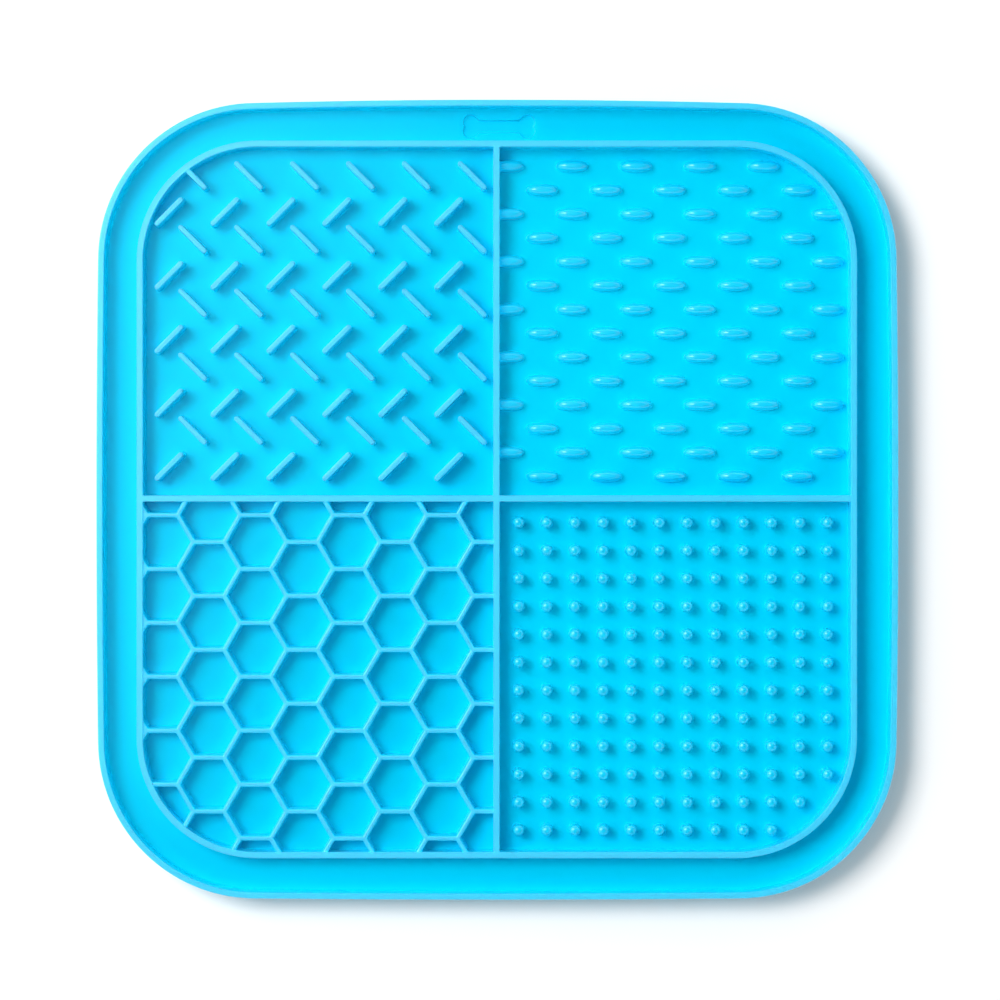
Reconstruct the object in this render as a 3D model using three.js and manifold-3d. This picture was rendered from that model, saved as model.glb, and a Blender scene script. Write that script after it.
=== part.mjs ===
// Lick mat: a square feeding mat, moulded in one piece from soft rubber.
// An outer rim and an inner frame wall stand on a flat floor, with a channel between them.
// Two dividers part the inside of the frame into four pockets: zigzag ribs, oval bumps,
// a honeycomb of thin walls, and round nubs. A bone is pressed into the channel's floor.
// Millimetres, +Z up. Seen from above, +X is right and +Y is away from the viewer.
// The origin is the middle of the underside.

import * as THREE from 'three';
import { mergeVertices } from 'three/addons/utils/BufferGeometryUtils.js';
import Module from 'manifold-3d';

// The whole mat, and how far each side swells past the straight line between its corners
const matWidth = 200;
const matDepth = 199.5;
const matHeight = 10;
const matCornerRadius = 39.2;
const sideBow = { right: 0.45, top: 0.8, left: 0.4, bottom: 0.3 };

// The floor and the walls that stand on it
const floorThickness = 4.6;
const rimThickness = 1.5;

// The inner frame and the crossing of its dividers sit a little aside of the mat's middle
const frame = {
  centreX: -0.14,
  centreY: 0.07,
  halfWidth: 89.8,
  halfDepth: 89.45,
  cornerRadius: 30,
  thickness: 1.5,
};
const divider = { centreX: -0.22, centreY: 0.28, thickness: 1.5 };

// Facets: steps in a quarter turn of a corner, and stretches in a bowed side
const cornerSteps = 10;
const bowStretches = 4;

// Bone pressed into the channel's floor, in the middle of the top side. Its four knobs
// stand at equal distances from its centre.
const bone = {
  centreX: 0.4,
  centreY: 93.6,
  depth: 0.5,
  shaftHalfWidth: 1.58,
  knobRadius: 1.9,
  knobX: 7.15,
  knobY: 1.1,
  knobSteps: 6,
};

// Zigzag ribs in the top left pocket: rising ribs lean like /, falling ribs like \
const rib = { length: 9.55, width: 1.2, height: 5.2, columns: 6, rows: 5, endSteps: 3 };
const ribPitch = { x: -13.95, y: 15.895 };
const risingRibStart = { x: -12.2, y: 8.28 };
const fallingRibStart = { x: -6.3, y: 17.29 };

// Oval bumps in the top right pocket, in rows that are staggered in turn
const oval = { length: 8.1, width: 3, height: 3, rows: 14, sides: 8 };
const ovalRowTop = 83.55;
const ovalRowPitch = 5.976;
const ovalPitch = 16.03;
const evenOvalRow = { start: 2.67, count: 6 };
const oddOvalRow = { start: 11.23, count: 5 };

// Honeycomb in the bottom left pocket: cells with flat tops, in columns staggered in turn
const honeycomb = { side: 7.762, wall: 1, height: 4.8, columns: 8, rows: 8 };
const honeycombStart = { x: -2.12, y: -3.87 };

// Round nubs in the bottom right pocket
const nub = { diameter: 2.9, height: 4.6, pitchX: 7.022, pitchY: 6.993, perSide: 12, sides: 6 };
const nubStart = { x: 5.28, y: -5.67 };

// The side of a bump, as a share of its radius at a share of its height
const domeSection = [
  { radius: 1, height: 0 },
  { radius: 0.82, height: 0.78 },
  { radius: 0, height: 1 },
];

// How far cutters reach past the faces they cut, and bumps into what they grow from
const overcut = 1;
const rootDepth = 0.3;

const wasm = await Module();
wasm.setup();

function toSolid(geometry) {
  geometry.deleteAttribute('normal');
  geometry.deleteAttribute('uv');
  const merged = mergeVertices(geometry, 1e-5);
  const corners = merged.index.array;
  const triangles = [];
  for (let i = 0; i < corners.length; i += 3) {
    const [a, b, c] = corners.slice(i, i + 3);
    if (a !== b && b !== c && c !== a) {
      triangles.push(a, b, c);
    }
  }
  return new wasm.Manifold(new wasm.Mesh({
    numProp: 3,
    vertProperties: new Float32Array(merged.attributes.position.array),
    triVerts: new Uint32Array(triangles),
  }));
}

function toGeometry(solid) {
  const mesh = solid.getMesh();
  const geometry = new THREE.BufferGeometry();
  geometry.setAttribute('position', new THREE.BufferAttribute(mesh.vertProperties, 3));
  geometry.setIndex(new THREE.BufferAttribute(mesh.triVerts, 1));
  geometry.computeVertexNormals();
  return geometry;
}

function prism(outline, bottom, top) {
  const geometry = new THREE.ExtrudeGeometry(new THREE.Shape(outline), {
    depth: top - bottom,
    bevelEnabled: false,
  });
  geometry.translate(0, 0, bottom);
  return toSolid(geometry);
}

function joinAll(solids) {
  return solids.reduce((whole, solid) => whole.add(solid));
}

function arc(centreX, centreY, radius, startAngle, sweep, steps) {
  const points = [];
  for (let i = 0; i <= steps; i += 1) {
    const angle = startAngle + (sweep * i) / steps;
    points.push(new THREE.Vector2(
      centreX + radius * Math.cos(angle),
      centreY + radius * Math.sin(angle),
    ));
  }
  return points;
}

// One bowed side between two corner points: its stretches swell most in the middle
function bowedSide(from, to, outward, bow) {
  const points = [];
  for (let i = 1; i < bowStretches; i += 1) {
    const share = i / bowStretches;
    const swell = bow * 4 * share * (1 - share);
    points.push(from.clone().lerp(to, share).addScaledVector(outward, swell));
  }
  return points;
}

// The mat's outline moved inwards by an inset, counterclockwise from the right side's top
function matOutline(inset) {
  const right = matWidth / 2 - sideBow.right;
  const left = -matWidth / 2 + sideBow.left;
  const top = matDepth / 2 - sideBow.top;
  const bottom = -matDepth / 2 + sideBow.bottom;
  const radius = matCornerRadius;
  const corners = [
    { x: right - radius, y: top - radius, start: 0, nextSide: { x: 0, y: 1, bow: sideBow.top } },
    { x: left + radius, y: top - radius, start: 1, nextSide: { x: -1, y: 0, bow: sideBow.left } },
    { x: left + radius, y: bottom + radius, start: 2, nextSide: { x: 0, y: -1, bow: sideBow.bottom } },
    { x: right - radius, y: bottom + radius, start: 3, nextSide: { x: 1, y: 0, bow: sideBow.right } },
  ];
  const quarter = Math.PI / 2;
  const arcs = corners.map(({ x, y, start }) => (
    arc(x, y, radius - inset, start * quarter, quarter, cornerSteps)
  ));
  return arcs.flatMap((points, i) => {
    const { x, y, bow } = corners[i].nextSide;
    const following = arcs[(i + 1) % arcs.length];
    const side = bowedSide(points.at(-1), following[0], new THREE.Vector2(x, y), bow);
    return [...points, ...side];
  });
}

// The middle of the frame's round corner in one quarter of the mat
function cornerCentre(signX, signY) {
  return new THREE.Vector2(
    frame.centreX + signX * (frame.halfWidth - frame.cornerRadius),
    frame.centreY + signY * (frame.halfDepth - frame.cornerRadius),
  );
}

function frameOutline() {
  const quarter = Math.PI / 2;
  const quarters = [
    { signX: 1, signY: 1 },
    { signX: -1, signY: 1 },
    { signX: -1, signY: -1 },
    { signX: 1, signY: -1 },
  ];
  return quarters.flatMap(({ signX, signY }, i) => {
    const { x, y } = cornerCentre(signX, signY);
    return arc(x, y, frame.cornerRadius, i * quarter, quarter, cornerSteps);
  });
}

// A pocket between the dividers and the frame, with one round corner, grown on all sides
const pocketCornerRadius = frame.cornerRadius - frame.thickness;

function pocketOutline(signX, signY, grown = 0) {
  const nearX = divider.centreX + signX * (divider.thickness / 2 - grown);
  const nearY = divider.centreY + signY * (divider.thickness / 2 - grown);
  const { x, y } = cornerCentre(signX, signY);
  const radius = pocketCornerRadius + grown;
  const roundCorner = arc(0, 0, radius, 0, Math.PI / 2, cornerSteps)
    .map((point) => new THREE.Vector2(x + signX * point.x, y + signY * point.y));
  const outline = [
    new THREE.Vector2(nearX, nearY),
    new THREE.Vector2(x + signX * radius, nearY),
    ...roundCorner,
    new THREE.Vector2(nearX, y + signY * radius),
  ];
  return signX * signY > 0 ? outline : outline.reverse();
}

function pocket(signX, signY, bottom, top, grown) {
  return prism(pocketOutline(signX, signY, grown), bottom, top);
}

// Bumps of one pocket, cut off where they would run through the pocket's walls
function bumpsWithin(signX, signY, bumps) {
  const zone = pocket(signX, signY, 0, matHeight, rootDepth);
  return joinAll(bumps).intersect(zone);
}

// The bone's outline: two knobs at each end, whose slanting sides run down to a shaft
function boneOutline() {
  const slant = Math.PI / 4;
  const waist = Math.asin(bone.knobY / bone.knobRadius);
  const sweep = waist + Math.PI / 2 + slant;
  const notch = new THREE.Vector2(bone.knobX + bone.knobRadius * Math.cos(waist), 0);
  const knob = arc(bone.knobX, bone.knobY, bone.knobRadius, -waist, sweep, bone.knobSteps);
  const knobEnd = knob.at(-1);
  const run = knobEnd.y - bone.shaftHalfWidth;
  const rightTop = [...knob.slice(1), new THREE.Vector2(knobEnd.x - run, bone.shaftHalfWidth)];
  const leftTop = rightTop.map((point) => new THREE.Vector2(-point.x, point.y)).reverse();
  const top = [notch, ...rightTop, ...leftTop];
  const bottom = top.map((point) => point.clone().negate());
  const centre = new THREE.Vector2(bone.centreX, bone.centreY);
  return [...top, ...bottom].map((point) => point.add(centre));
}

function boneRecess() {
  return prism(boneOutline(), floorThickness - bone.depth, floorThickness + overcut);
}

// A straight rib with round ends, leaning at an angle
function ribSolid(x, y, angle) {
  const radius = rib.width / 2;
  const reach = rib.length / 2 - radius;
  const outline = [
    ...arc(reach, 0, radius, -Math.PI / 2, Math.PI, rib.endSteps),
    ...arc(-reach, 0, radius, Math.PI / 2, Math.PI, rib.endSteps),
  ];
  const origin = new THREE.Vector2();
  const centre = new THREE.Vector2(x, y);
  outline.forEach((point) => point.rotateAround(origin, angle).add(centre));
  return prism(outline, floorThickness - rootDepth, floorThickness + rib.height);
}

function zigzagRibs() {
  const ribs = [];
  for (let column = 0; column < rib.columns; column += 1) {
    for (let row = 0; row < rib.rows; row += 1) {
      const stepX = column * ribPitch.x;
      const stepY = row * ribPitch.y;
      ribs.push(ribSolid(risingRibStart.x + stepX, risingRibStart.y + stepY, Math.PI / 4));
      ribs.push(ribSolid(fallingRibStart.x + stepX, fallingRibStart.y + stepY, -Math.PI / 4));
    }
  }
  return bumpsWithin(-1, 1, ribs);
}

// A bump with a round or oval foot and a domed top
function bumpSolid(x, y, halfLength, halfWidth, height, sides) {
  const root = rootDepth / height;
  const section = [
    new THREE.Vector2(0, -root),
    new THREE.Vector2(domeSection[0].radius, -root),
    ...domeSection.map((point) => new THREE.Vector2(point.radius, point.height)),
  ];
  const geometry = new THREE.LatheGeometry(section, sides);
  geometry.rotateX(Math.PI / 2);
  geometry.scale(halfLength, halfWidth, height);
  geometry.translate(x, y, floorThickness);
  return toSolid(geometry);
}

function ovalBumps() {
  const bumps = [];
  for (let row = 0; row < oval.rows; row += 1) {
    const { start, count } = row % 2 === 0 ? evenOvalRow : oddOvalRow;
    const y = ovalRowTop - row * ovalRowPitch;
    for (let i = 0; i < count; i += 1) {
      const x = start + i * ovalPitch;
      bumps.push(bumpSolid(x, y, oval.length / 2, oval.width / 2, oval.height, oval.sides));
    }
  }
  return bumpsWithin(1, 1, bumps);
}

// Whole nubs only: none is set where the pocket's round corner would cut it
function nubFits(x, y) {
  const corner = cornerCentre(1, -1);
  const pastX = Math.max(x - corner.x, 0);
  const pastY = Math.max(corner.y - y, 0);
  return Math.hypot(pastX, pastY) + nub.diameter / 2 < pocketCornerRadius;
}

function roundNubs() {
  const bumps = [];
  const radius = nub.diameter / 2;
  for (let row = 0; row < nub.perSide; row += 1) {
    for (let column = 0; column < nub.perSide; column += 1) {
      const x = nubStart.x + column * nub.pitchX;
      const y = nubStart.y - row * nub.pitchY;
      if (nubFits(x, y)) {
        bumps.push(bumpSolid(x, y, radius, radius, nub.height, nub.sides));
      }
    }
  }
  return bumpsWithin(1, -1, bumps);
}

// The honeycomb's open cells, cut off where they would run through the pocket's walls
function honeycombCells() {
  const cellRadius = honeycomb.side - honeycomb.wall / Math.sqrt(3);
  const columnPitch = 1.5 * honeycomb.side;
  const rowPitch = Math.sqrt(3) * honeycomb.side;
  const top = floorThickness + honeycomb.height + overcut;
  const cells = [];
  for (let column = 0; column < honeycomb.columns; column += 1) {
    const x = honeycombStart.x - column * columnPitch;
    const stagger = column % 2 === 0 ? 0 : rowPitch / 2;
    for (let row = 0; row < honeycomb.rows; row += 1) {
      const y = honeycombStart.y + stagger - row * rowPitch;
      const hexagon = arc(x, y, cellRadius, 0, 2 * Math.PI, 6).slice(1);
      cells.push(prism(hexagon, floorThickness, top));
    }
  }
  return joinAll(cells).intersect(pocket(-1, -1, 0, matHeight));
}

function matSolid() {
  const above = matHeight + overcut;
  const channel = prism(matOutline(rimThickness), floorThickness, above)
    .subtract(prism(frameOutline(), 0, above + overcut));
  return prism(matOutline(0), 0, matHeight)
    .subtract(channel)
    .subtract(boneRecess())
    .subtract(pocket(-1, 1, floorThickness, above))
    .subtract(pocket(1, 1, floorThickness, above))
    .subtract(pocket(1, -1, floorThickness, above))
    .subtract(pocket(-1, -1, floorThickness + honeycomb.height, above))
    .subtract(honeycombCells())
    .add(zigzagRibs())
    .add(ovalBumps())
    .add(roundNubs());
}

const siliconeRubber = new THREE.MeshStandardMaterial({
  color: 0x06dcf8,
  roughness: 0.42,
  metalness: 0,
  flatShading: true,
});

const mat = new THREE.Mesh(toGeometry(matSolid()), siliconeRubber);
mat.name = 'mat';

const lickMat = new THREE.Group();
lickMat.add(mat);

export default lickMat;
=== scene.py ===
# Lick mat, seen from straight above: one moulding of soft cyan rubber on a white table.
# The mat's own sizes are in millimetres until its mesh is finished, and then in metres.

import math
import bmesh
import bpy
from mathutils import Matrix, Vector


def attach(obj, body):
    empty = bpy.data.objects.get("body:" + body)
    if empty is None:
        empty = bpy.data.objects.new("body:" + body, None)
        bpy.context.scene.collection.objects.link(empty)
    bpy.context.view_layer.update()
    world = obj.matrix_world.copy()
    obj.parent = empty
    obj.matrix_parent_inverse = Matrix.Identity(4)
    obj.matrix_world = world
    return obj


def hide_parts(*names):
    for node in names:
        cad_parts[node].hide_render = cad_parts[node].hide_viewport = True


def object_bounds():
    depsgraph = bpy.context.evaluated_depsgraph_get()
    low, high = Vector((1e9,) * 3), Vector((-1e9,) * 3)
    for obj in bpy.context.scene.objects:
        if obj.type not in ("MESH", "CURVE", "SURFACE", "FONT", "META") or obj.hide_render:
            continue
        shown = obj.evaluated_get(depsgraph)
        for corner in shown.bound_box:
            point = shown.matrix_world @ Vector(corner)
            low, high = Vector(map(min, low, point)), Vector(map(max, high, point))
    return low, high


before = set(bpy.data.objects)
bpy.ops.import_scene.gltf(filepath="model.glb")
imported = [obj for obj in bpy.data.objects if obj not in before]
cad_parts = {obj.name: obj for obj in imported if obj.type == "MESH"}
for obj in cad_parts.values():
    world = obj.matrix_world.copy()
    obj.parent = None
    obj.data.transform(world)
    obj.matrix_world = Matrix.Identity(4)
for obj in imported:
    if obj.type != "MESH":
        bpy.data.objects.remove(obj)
cad_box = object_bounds()
scene = bpy.context.scene
millimetre = 0.001


# Camera
# The photograph looks straight down on the mat from about 0.85 m above the table.
# The lens follows from how wide the mat's rim is in the picture, and the camera stands
# a little aside of the mat's middle, which is not quite the picture's middle.
photo_width_px = 1000
mat_width_px = 802.3
mat_middle_px = (497.4, 499.7)
camera_height = 0.85
sensor_width = 36
(cad_left, cad_front, cad_base), (cad_right, cad_back, rim_top) = cad_box
field_width = photo_width_px * (cad_right - cad_left) / mat_width_px
picture_middle_px = photo_width_px / 2
metre_per_px = field_width / photo_width_px
camera_data = bpy.data.cameras.new("camera")
camera_data.sensor_width = sensor_width
camera_data.lens = sensor_width * (camera_height - rim_top) / field_width
camera = bpy.data.objects.new("camera", camera_data)
camera.location = (
    (picture_middle_px - mat_middle_px[0]) * metre_per_px,
    (mat_middle_px[1] - picture_middle_px) * metre_per_px,
    camera_height,
)
scene.collection.objects.link(camera)
scene.camera = camera


# Table and light
# A plain white table, lit by a large softbox that hangs to the left of the mat and a little
# behind it, and by a weak one closer to the camera. White walls around the table fill the
# shadows, and the ceiling is dark, so that only the softboxes shine in the rubber.
table_size = 6
table_colour = (0.9, 0.9, 0.9, 1)
softboxes = {
    "far_softbox": {"place": (-0.85, 0.47, 1.4), "size": 0.77, "power": 24.5},
    "near_softbox": {"place": (-0.3, 0.12, 0.83), "size": 0.45, "power": 1.2},
}
walls_strength = 1.6
ceiling_strength = 0
walls_to = 0.45
ceiling_from = 0.8

scene.view_settings.view_transform = "Standard"

table_mesh = bpy.data.meshes.new("table")
half_table = table_size / 2
table_mesh.from_pydata(
    [(-half_table, -half_table, 0), (half_table, -half_table, 0),
     (half_table, half_table, 0), (-half_table, half_table, 0)],
    [],
    [(0, 1, 2, 3)],
)
table = bpy.data.objects.new("table", table_mesh)
table.location.z = cad_base
scene.collection.objects.link(table)

for name, box in softboxes.items():
    lamp = bpy.data.lights.new(name, "AREA")
    lamp.shape = "SQUARE"
    lamp.size = box["size"]
    lamp.energy = box["power"]
    softbox = bpy.data.objects.new(name, lamp)
    softbox.location = box["place"]
    softbox.rotation_euler = (-softbox.location).to_track_quat("-Z", "Y").to_euler()
    scene.collection.objects.link(softbox)


class Value:
    """A shader socket that takes part in sums, differences and products."""

    def __init__(self, tree, socket):
        self.tree = tree
        self.socket = socket

    def math(self, operation, first, second):
        return node(self.tree, "ShaderNodeMath", {"operation": operation}, {0: first, 1: second})

    def __add__(self, other):
        return self.math("ADD", self, other)

    def __radd__(self, other):
        return self.math("ADD", other, self)

    def __sub__(self, other):
        return self.math("SUBTRACT", self, other)

    def __rsub__(self, other):
        return self.math("SUBTRACT", other, self)

    def __mul__(self, other):
        return self.math("MULTIPLY", self, other)

    def __rmul__(self, other):
        return self.math("MULTIPLY", other, self)


def node(tree, kind, settings=None, inputs=None, output=0):
    """Adds one shader node: its settings first, then its sockets' values or links."""
    made = tree.nodes.new(kind)
    for name, setting in (settings or {}).items():
        setattr(made, name, setting)
    for name, value in (inputs or {}).items():
        if isinstance(value, Value):
            tree.links.new(value.socket, made.inputs[name])
        else:
            made.inputs[name].default_value = value
    return Value(tree, made.outputs[output]) if len(made.outputs) else made


def empty_tree(owner):
    owner.use_nodes = True
    owner.node_tree.nodes.clear()
    return owner.node_tree


world = bpy.data.worlds.new("studio")
scene.world = world
sky = empty_tree(world)
direction = node(sky, "ShaderNodeTexCoord", output="Generated")
height = node(sky, "ShaderNodeSeparateXYZ", None, {0: direction}, output="Z")
brightness = node(
    sky,
    "ShaderNodeMapRange",
    {"interpolation_type": "SMOOTHSTEP"},
    {"Value": height, "From Min": walls_to, "From Max": ceiling_from,
     "To Min": walls_strength, "To Max": ceiling_strength},
)
studio_light = node(sky, "ShaderNodeBackground", None, {"Strength": brightness})
node(sky, "ShaderNodeOutputWorld", None, {"Surface": studio_light})

table_paint = bpy.data.materials.new("table_paint")
paint_tree = empty_tree(table_paint)
paint = node(
    paint_tree,
    "ShaderNodeBsdfPrincipled",
    None,
    {"Base Color": table_colour, "Roughness": 0.7, "Specular IOR Level": 0.2},
)
node(paint_tree, "ShaderNodeOutputMaterial", None, {"Surface": paint})
table.data.materials.append(table_paint)


# Moulded blank
# The mat starts as one block of silicone with the outline of the whole mat, whose sides
# swell a little between the corners. The mould rounds its top edge and its bottom edge.
# Everything inside the rim is taken out of this block in the sections that follow.
mat_height = (rim_top - cad_base) / millimetre
mat_half_width = (cad_right - cad_left) / 2 / millimetre
mat_half_depth = (cad_back - cad_front) / 2 / millimetre
mat_corner_radius = 39.2
side_bow = {"right": 0.45, "top": 0.8, "left": 0.4, "bottom": 0.3}
bow_stretches = 16
corner_steps = 28
rim_crown = 0.25
base_edge = 0.5
round_steps = 4
quarter_turn = math.pi / 2
round_angles = [quarter_turn * step / round_steps for step in range(round_steps + 1)]


def arc(centre, radius, start, sweep, steps):
    angles = [start + sweep * step / steps for step in range(steps + 1)]
    return [centre + radius * Vector((math.cos(a), math.sin(a))) for a in angles]


def mat_outline(grow):
    """The mat's outline, counterclockwise, grown outwards by a distance.

    Each side swells along a parabola, and by its whole bow in the middle.
    """
    right = mat_half_width - side_bow["right"] - mat_corner_radius
    left = side_bow["left"] - mat_half_width + mat_corner_radius
    top = mat_half_depth - side_bow["top"] - mat_corner_radius
    bottom = side_bow["bottom"] - mat_half_depth + mat_corner_radius
    corners = [Vector(c) for c in ((right, top), (left, top), (left, bottom), (right, bottom))]
    sides = [
        (Vector((0, 1)), side_bow["top"]),
        (Vector((-1, 0)), side_bow["left"]),
        (Vector((0, -1)), side_bow["bottom"]),
        (Vector((1, 0)), side_bow["right"]),
    ]
    arcs = [
        arc(centre, mat_corner_radius + grow, number * quarter_turn, quarter_turn, corner_steps)
        for number, centre in enumerate(corners)
    ]
    points = []
    for number, (outward, bow) in enumerate(sides):
        start = arcs[number][-1]
        end = arcs[(number + 1) % len(arcs)][0]
        points += arcs[number]
        for step in range(1, bow_stretches):
            share = step / bow_stretches
            swell = bow * 4 * share * (1 - share)
            points.append(start.lerp(end, share) + outward * swell)
    return points


def loft(rings):
    """A closed mesh through rings of (outline, height), from the lowest to the highest."""
    body = bmesh.new()
    loops = [[body.verts.new((*point, height)) for point in outline] for outline, height in rings]
    for lower, upper in zip(loops, loops[1:]):
        for number in range(len(lower)):
            following = (number + 1) % len(lower)
            corners = (lower[number], lower[following], upper[following], upper[number])
            body.faces.new(corners)
    body.faces.new(reversed(loops[0]))
    body.faces.new(loops[-1])
    return body


def as_object(name, bodies):
    """One object from several meshes that don't touch each other."""
    mesh = bpy.data.meshes.new(name)
    whole = bmesh.new()
    for body in bodies:
        body.to_mesh(mesh)
        body.free()
        whole.from_mesh(mesh)
    whole.to_mesh(mesh)
    whole.free()
    made = bpy.data.objects.new(name, mesh)
    scene.collection.objects.link(made)
    return made


def crown_section(top, radius):
    """Pairs of (growth, height) over the rounded top edge of a block, seen from its side."""
    return [(radius * (math.cos(a) - 1), top + radius * (math.sin(a) - 1)) for a in round_angles]


blank_section = [(base_edge * (math.sin(a) - 1), base_edge * (1 - math.cos(a))) for a in round_angles]
blank_section += crown_section(mat_height, rim_crown)
blank = loft([(mat_outline(growth), height) for growth, height in blank_section])
mat = as_object("mat_rubber", [blank])


# Channel
# A trough runs round the mat between the rim and the inner frame wall. Both walls lean
# back a little so that the mould lets go, their top edges are rounded, and a small hollow
# round joins them to the trough's floor.
floor_thickness = 4.6
rim_thickness = 1.5
frame_middle = Vector((-0.14, 0.07))
frame_half_width = 89.8
frame_half_depth = 89.45
frame_corner_radius = 30
frame_thickness = 1.5
wall_crown = 0.15
wall_foot = 0.15
wall_lean = 0.04
least_corner = 0.06
small_corner = 5
overcut = 1
skim = 0.01


def soft_polygon(corners, grow, steps):
    """A convex outline from (point, radius) corners, counterclockwise, grown outwards.

    A corner's radius grows with the outline, and never falls to nothing.
    """
    points = []
    for number, (here, radius) in enumerate(corners):
        before = (here - corners[number - 1][0]).normalized()
        after = (corners[(number + 1) % len(corners)][0] - here).normalized()
        start = math.atan2(-before.x, before.y)
        turn = -before.angle_signed(after)
        reach = max(radius + grow, least_corner)
        bisector = Vector((math.cos(start + turn / 2), math.sin(start + turn / 2)))
        inset = (reach - grow) / math.cos(turn / 2)
        count = steps if radius > small_corner else round_steps
        points += arc(here - bisector * inset, reach, start, turn, count)
    return points


def rectangle(left, bottom, right, top, radii):
    """Corners for soft_polygon, from the bottom left, with a radius for each."""
    places = [(left, bottom), (right, bottom), (right, top), (left, top)]
    return [(Vector(place), radius) for place, radius in zip(places, radii)]


def frame_outline(grow):
    reach = Vector((frame_half_width, frame_half_depth))
    corners = rectangle(*(frame_middle - reach), *(frame_middle + reach), [frame_corner_radius] * 4)
    return soft_polygon(corners, grow, corner_steps)


def foot_section(floor, radius):
    """Pairs of (growth, height) where a hollow round runs out of a wall, level on a floor."""
    return [(radius * (1 - math.sin(a)), floor + radius * (1 - math.cos(a))) for a in round_angles]


def hollow_section(floor, top, foot, crown, lean):
    """Pairs of (growth, height) up the side of a hollow, from its floor to above its mouth."""
    section = [(-growth - lean, height) for growth, height in foot_section(floor, foot)]
    section += [(-growth, height) for growth, height in crown_section(top + skim, crown)]
    return section + [(crown + skim, top + overcut)]


def combine(target, tool, operation):
    """Joins, cuts or keeps the common part of two solids, and uses up the tool."""
    modifier = target.modifiers.new(operation, "BOOLEAN")
    modifier.operation = operation
    modifier.solver = "MANIFOLD"
    modifier.object = tool
    depsgraph = bpy.context.evaluated_depsgraph_get()
    made = bpy.data.meshes.new_from_object(target.evaluated_get(depsgraph))
    spent = [target.data, tool.data]
    target.modifiers.clear()
    target.data = made
    bpy.data.objects.remove(tool)
    for mesh in spent:
        bpy.data.meshes.remove(mesh)
    return target


trough_section = hollow_section(floor_thickness, mat_height, wall_foot, wall_crown, wall_lean)
trough = loft([(mat_outline(growth - rim_thickness), height) for growth, height in trough_section])
core_rings = [(frame_outline(-growth), height) for growth, height in trough_section]
core_rings.insert(0, (core_rings[0][0], floor_thickness - overcut))
core_rings.append((core_rings[-1][0], mat_height + 2 * overcut))
channel = combine(as_object("channel", [trough]), as_object("core", [loft(core_rings)]), "DIFFERENCE")
combine(mat, channel, "DIFFERENCE")


# Bone
# A small bone is pressed into the channel's floor in the middle of the top side. It is
# part of the mould: a straight shaft with two round knobs at each end.
bone_middle = Vector((0.4, 93.6))
bone_depth = 0.75
bone_shaft_half_width = 1.58
bone_knob_radius = 1.9
bone_knob_place = Vector((7.15, 1.1))
bone_edge = 0.16
bone_lean = 0.1
bone_steps = 8


def bone_outline(grow):
    """Two knobs at each end, whose slanting sides run down to a straight shaft."""
    radius = bone_knob_radius + grow
    waist = math.asin(bone_knob_place.y / radius)
    slant = quarter_turn / 2
    knob = arc(bone_knob_place, radius, -waist, quarter_turn + slant + waist, bone_steps)[1:]
    run = knob[-1].y - bone_shaft_half_width - grow
    right_top = knob + [knob[-1] - Vector((run, run))]
    notch = Vector((bone_knob_place.x + radius * math.cos(waist), 0))
    left_top = [Vector((-point.x, point.y)) for point in reversed(right_top)]
    top = [notch, *right_top, *left_top]
    return [bone_middle + point for point in top] + [bone_middle - point for point in top]


bone_floor = floor_thickness - bone_depth
bone_section = hollow_section(bone_floor, floor_thickness, bone_edge, bone_edge, bone_lean)
bone = loft([(bone_outline(growth), height) for growth, height in bone_section])
combine(mat, as_object("bone", [bone]), "DIFFERENCE")


# Pockets and dividers
# Two dividers cross in the middle and part the inside of the frame into four pockets, as
# deep as the channel.
divider_thickness = 1.5
pocket_corner = 0.25
divider_crossing = Vector((-0.22, 0.28))
pocket_near = divider_thickness / 2
pocket_round = frame_corner_radius - frame_thickness


def pocket_outline(side_x, side_y, grow):
    """One pocket's outline: sharp at the dividers, round in the frame's corner."""
    far_x = frame_middle.x + side_x * (frame_half_width - frame_thickness)
    far_y = frame_middle.y + side_y * (frame_half_depth - frame_thickness)
    low_x, high_x = sorted((divider_crossing.x + side_x * pocket_near, far_x))
    low_y, high_y = sorted((divider_crossing.y + side_y * pocket_near, far_y))
    quarters = [(-1, -1), (1, -1), (1, 1), (-1, 1)]
    radii = [pocket_round if (side_x, side_y) == quarter else pocket_corner for quarter in quarters]
    return soft_polygon(rectangle(low_x, low_y, high_x, high_y, radii), grow, corner_steps)


for side_x, side_y in ((-1, 1), (1, 1), (1, -1), (-1, -1)):
    section = hollow_section(floor_thickness, mat_height, wall_foot, wall_crown, wall_lean)
    rings = [(pocket_outline(side_x, side_y, growth), height) for growth, height in section]
    combine(mat, as_object("pocket", [loft(rings)]), "DIFFERENCE")


# Honeycomb
# Thin walls in the bottom left pocket form six-sided cells, half a cell lower from column
# to column. The walls stand a little below the frame, and their crests are rounded.
honeycomb_height = 4.8
pattern_root = 0.4
pattern_into_wall = 0.5
plate_margin = 1
cell_side = 7.762
cell_wall = 1.22
cell_corner = 0.3
cell_crown = 0.5
cell_foot = 0.2
cell_lean = 0.12
cell_sides = 6
full_turn = 4 * quarter_turn
cell_columns = 8
cell_rows = 8
first_cell = Vector((-2.2, -3.82))
column_pitch = 1.5 * cell_side
row_pitch = math.sqrt(3) * cell_side


def cell_outline(middle, grow):
    reach = cell_side - cell_wall / math.sqrt(3)
    corners = arc(middle, reach, 0, full_turn, cell_sides)[1:]
    return soft_polygon([(corner, cell_corner) for corner in corners], grow, round_steps)


def pour(group, side_x, side_y):
    """Joins a pocket's pattern to the mat, cut off where it would run through the walls."""
    outline = pocket_outline(side_x, side_y, pattern_into_wall)
    zone = loft([(outline, height) for height in (0, mat_height)])
    combine(group, as_object("zone", [zone]), "INTERSECT")
    combine(mat, group, "UNION")


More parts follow.
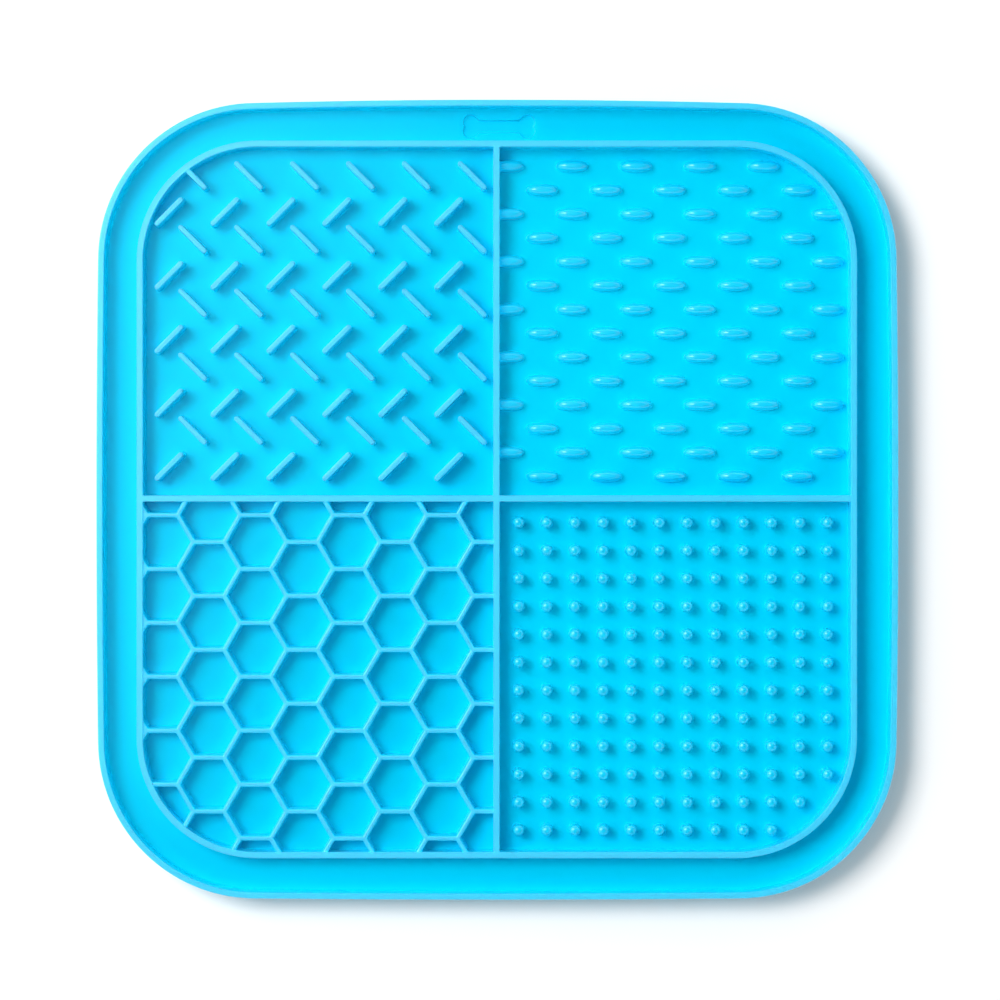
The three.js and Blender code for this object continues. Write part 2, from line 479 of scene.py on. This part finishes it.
honeycomb_top = floor_thickness + honeycomb_height
cell_section = hollow_section(floor_thickness - skim, honeycomb_top, cell_foot, cell_crown, cell_lean)
cell_section.insert(0, (cell_section[0][0], floor_thickness - overcut))
cells = []
for column in range(cell_columns):
    for row in range(cell_rows):
        stagger = row_pitch / 2 if column % 2 else 0
        middle = first_cell + Vector((-column * column_pitch, stagger - row * row_pitch))
        cells.append(loft([(cell_outline(middle, growth), height) for growth, height in cell_section]))
plate_bottom = floor_thickness - pattern_root
plate_outline = pocket_outline(-1, -1, plate_margin)
plate = loft([(plate_outline, height) for height in (plate_bottom, honeycomb_top)])
honeycomb = combine(as_object("plate", [plate]), as_object("cells", cells), "DIFFERENCE")
pour(honeycomb, -1, -1)


# Zigzag ribs
# Short straight ribs with round ends stand in the top left pocket. They lean one way and
# the other from row to row, and the one in the corner runs into the frame.
rib_length = 9.55
rib_width = 1.28
rib_height = 5.2
rib_crown = 0.25
rib_foot = 0.15
rib_draft = 0.08
rib_columns = 6
rib_rows = 5
rib_pitch = Vector((-13.95, 15.895))
first_rising_rib = Vector((-12.2, 8.28))
first_falling_rib = Vector((-6.3, 17.29))
rib_end_steps = 8


def bump(rings):
    """A bump through rings of (outline, height over the floor), with its root in the floor."""
    placed = [(outline, floor_thickness + height - skim) for outline, height in rings]
    return loft([(placed[0][0], floor_thickness - pattern_root)] + placed)


def rib(middle, lean):
    along = Vector((math.cos(lean), math.sin(lean))) * (rib_length - rib_width) / 2
    rings = []
    for growth, height in rib_section:
        radius = rib_width / 2 + growth + rib_draft * (1 - height / rib_height)
        right_end = arc(middle + along, radius, lean - quarter_turn, math.pi, rib_end_steps)
        left_end = arc(middle - along, radius, lean + quarter_turn, math.pi, rib_end_steps)
        rings.append((right_end + left_end, height))
    return bump(rings)


rib_section = foot_section(0, rib_foot) + crown_section(rib_height, rib_crown)
ribs = []
for column in range(rib_columns):
    for row in range(rib_rows):
        step = Vector((column * rib_pitch.x, row * rib_pitch.y))
        ribs.append(rib(first_rising_rib + step, quarter_turn / 2))
        ribs.append(rib(first_falling_rib + step, -quarter_turn / 2))
pour(as_object("ribs", ribs), -1, 1)


# Oval bumps
# Low oval domes with blunt ends lie in staggered rows in the top right pocket. The divider
# cuts off the first one in every other row, and the frame's corner cuts one more.
oval_length = 8
oval_ridge = 1
oval_bluntness = 0.85
oval_width = 2.9
oval_height = 3
oval_shoulder = 0.9
oval_rows = 14
oval_row_top = 83.55
oval_row_pitch = 5.976
oval_pitch = 16.03
oval_steps = 32
even_row = {"start": 2.67, "count": 6}
odd_row = {"start": 11.23, "count": 5}
dome_foot = 0.2
dome_steps = 7


def dome(middle, length, width, height, shoulder, steps, ridge=0, bluntness=1):
    """A round or oval bump: a hollow foot, a short upright side, and a dome on it.

    An oval's dome can run up to a ridge along its middle, and have blunt ends.
    """
    ring_sizes = [(1, growth, level) for growth, level in foot_section(0, dome_foot)]
    for number in range(dome_steps):
        angle = quarter_turn * number / dome_steps
        level = shoulder + (height - shoulder) * math.sin(angle)
        ring_sizes.append((math.cos(angle), 0, level))
    circle = arc(Vector((0, 0)), 1, 0, full_turn, steps)[1:]
    outline = [Vector([math.copysign(abs(c) ** bluntness, c) for c in point]) for point in circle]
    rings = []
    for share, growth, level in ring_sizes:
        half_length = (ridge + (length - ridge) * share) / 2
        reach = Vector((half_length + growth, width / 2 * share + growth))
        rings.append(([middle + point * reach for point in outline], level))
    return bump(rings)


ovals = []
for row in range(oval_rows):
    layout = odd_row if row % 2 else even_row
    for number in range(layout["count"]):
        middle = Vector((layout["start"] + number * oval_pitch, oval_row_top - row * oval_row_pitch))
        sizes = (oval_length, oval_width, oval_height, oval_shoulder)
        ovals.append(dome(middle, *sizes, oval_steps, oval_ridge, oval_bluntness))
pour(as_object("ovals", ovals), 1, 1)


# Round nubs
# Short nubs with round tops stand in straight rows in the bottom right pocket. None is set
# where the frame's round corner would cut it.
nub_diameter = 2.9
nub_height = 4.6
nub_shoulder = 3.4
nub_pitch = Vector((7.022, -6.993))
nubs_per_side = 12
nub_steps = 20
first_nub = Vector((5.28, -5.67))
corner_reach = Vector((frame_half_width - frame_corner_radius, frame_corner_radius - frame_half_depth))
corner_middle = frame_middle + corner_reach

nubs = []
for row in range(nubs_per_side):
    for column in range(nubs_per_side):
        middle = first_nub + Vector((column, row)) * nub_pitch
        past = Vector((max(middle.x - corner_middle.x, 0), max(corner_middle.y - middle.y, 0)))
        if past.length + nub_diameter / 2 < pocket_round:
            nubs.append(dome(middle, nub_diameter, nub_diameter, nub_height, nub_shoulder, nub_steps))
pour(as_object("nubs", nubs), 1, -1)


# Silicone
# The whole mat is one piece of cyan silicone rubber with a satin skin: soft highlights, a
# little light that wanders inside it, a fine grain and an uneven gloss. Its floors are bright.
# What stands up from them has painted shade, a deeper cyan, and a broader, stronger shine,
# and its crests carry a painted sheen, a greyer cyan with a little red in it.
mat_colour = (0, 0.6, 0.84, 1)
mat_colour_deep = (0, 0.59, 0.84, 1)
# Painted shade: everything except the floors gets this deeper cyan, though it is the same rubber.
raised_painted_shade = (0, 0.53, 0.8, 1)
raised_from_to = (4.8 * millimetre, 6.2 * millimetre)
flat_from_to = (0.3, 0.8)
# Painted sheen: the crests from 9.2 mm up get a greyer cyan with a little red, standing in for
# reflected light.
crest_painted_sheen = (0.045, 0.5, 0.74, 1)
ridge_from_to = (9.2 * millimetre, 9.4 * millimetre)
specular_tint = (0.22, 0.8, 1, 1)
floor_roughness = 0.17
cloud_roughness = 0.05
raised_roughness = 0.12
raised_coat = 0.8
sharp_edge = math.radians(40)
weld = 0.0005

whole = bmesh.new()
whole.from_mesh(mat.data)
bmesh.ops.remove_doubles(whole, verts=whole.verts, dist=weld)
bmesh.ops.recalc_face_normals(whole, faces=whole.faces)
whole.to_mesh(mat.data)
whole.free()
mat.data.transform(Matrix.Scale(millimetre, 4))
mat.data.shade_smooth()
mat.data.set_sharp_from_angle(angle=sharp_edge)
even_normals = mat.modifiers.new("even_normals", "WEIGHTED_NORMAL")
even_normals.keep_sharp = True

silicone = bpy.data.materials.new("silicone")
skin = empty_tree(silicone)
place = node(skin, "ShaderNodeTexCoord", output="Object")
clouds = node(skin, "ShaderNodeTexNoise", None, {"Vector": place, "Scale": 35, "Detail": 3})
grain = node(skin, "ShaderNodeTexNoise", None, {"Vector": place, "Scale": 2400, "Detail": 2})
cyan = node(
    skin,
    "ShaderNodeMix",
    {"data_type": "RGBA"},
    {"Factor": clouds, "A": mat_colour, "B": mat_colour_deep},
    output="Result",
)
level = node(skin, "ShaderNodeSeparateXYZ", None, {0: place}, output="Z")
facing = node(skin, "ShaderNodeTexCoord", output="Normal")
upward = node(skin, "ShaderNodeSeparateXYZ", None, {0: facing}, output="Z")


def share_above(measure, low, high):
    """None of the skin where the measure is below the lower value, all above the higher one."""
    slope = {"Value": measure, "From Min": low, "From Max": high}
    return node(skin, "ShaderNodeMapRange", {"interpolation_type": "SMOOTHSTEP"}, slope)


floors = share_above(upward, *flat_from_to) * (1 - share_above(level, *raised_from_to))
raised = 1 - floors
painted_sheen_share = share_above(level, *ridge_from_to)
roughness = floor_roughness + clouds * cloud_roughness + raised * raised_roughness
colour = cyan
# Paints shade on all that stands up from the floors, then a sheen on the crests.
for share, tone in ((raised, raised_painted_shade), (painted_sheen_share, crest_painted_sheen)):
    mixed = {"Factor": share, "A": colour, "B": tone}
    colour = node(skin, "ShaderNodeMix", {"data_type": "RGBA"}, mixed, output="Result")
fine_bump = node(
    skin,
    "ShaderNodeBump",
    None,
    {"Strength": 0.12, "Distance": 0.0001, "Height": grain},
    output="Normal",
)
surface = node(
    skin,
    "ShaderNodeBsdfPrincipled",
    {"subsurface_method": "BURLEY"},
    {"Base Color": colour, "Roughness": roughness, "IOR": 1.41, "Specular Tint": specular_tint,
     "Coat Weight": raised * raised_coat, "Coat Roughness": 0.28, "Coat IOR": 1.5,
     "Subsurface Weight": 0.7, "Subsurface Radius": (0.05, 0.6, 0.6), "Subsurface Scale": 0.008,
     "Normal": fine_bump},
)
node(skin, "ShaderNodeOutputMaterial", None, {"Surface": surface})
mat.data.materials.clear()
mat.data.materials.append(silicone)

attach(mat, "root")
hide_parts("mat")
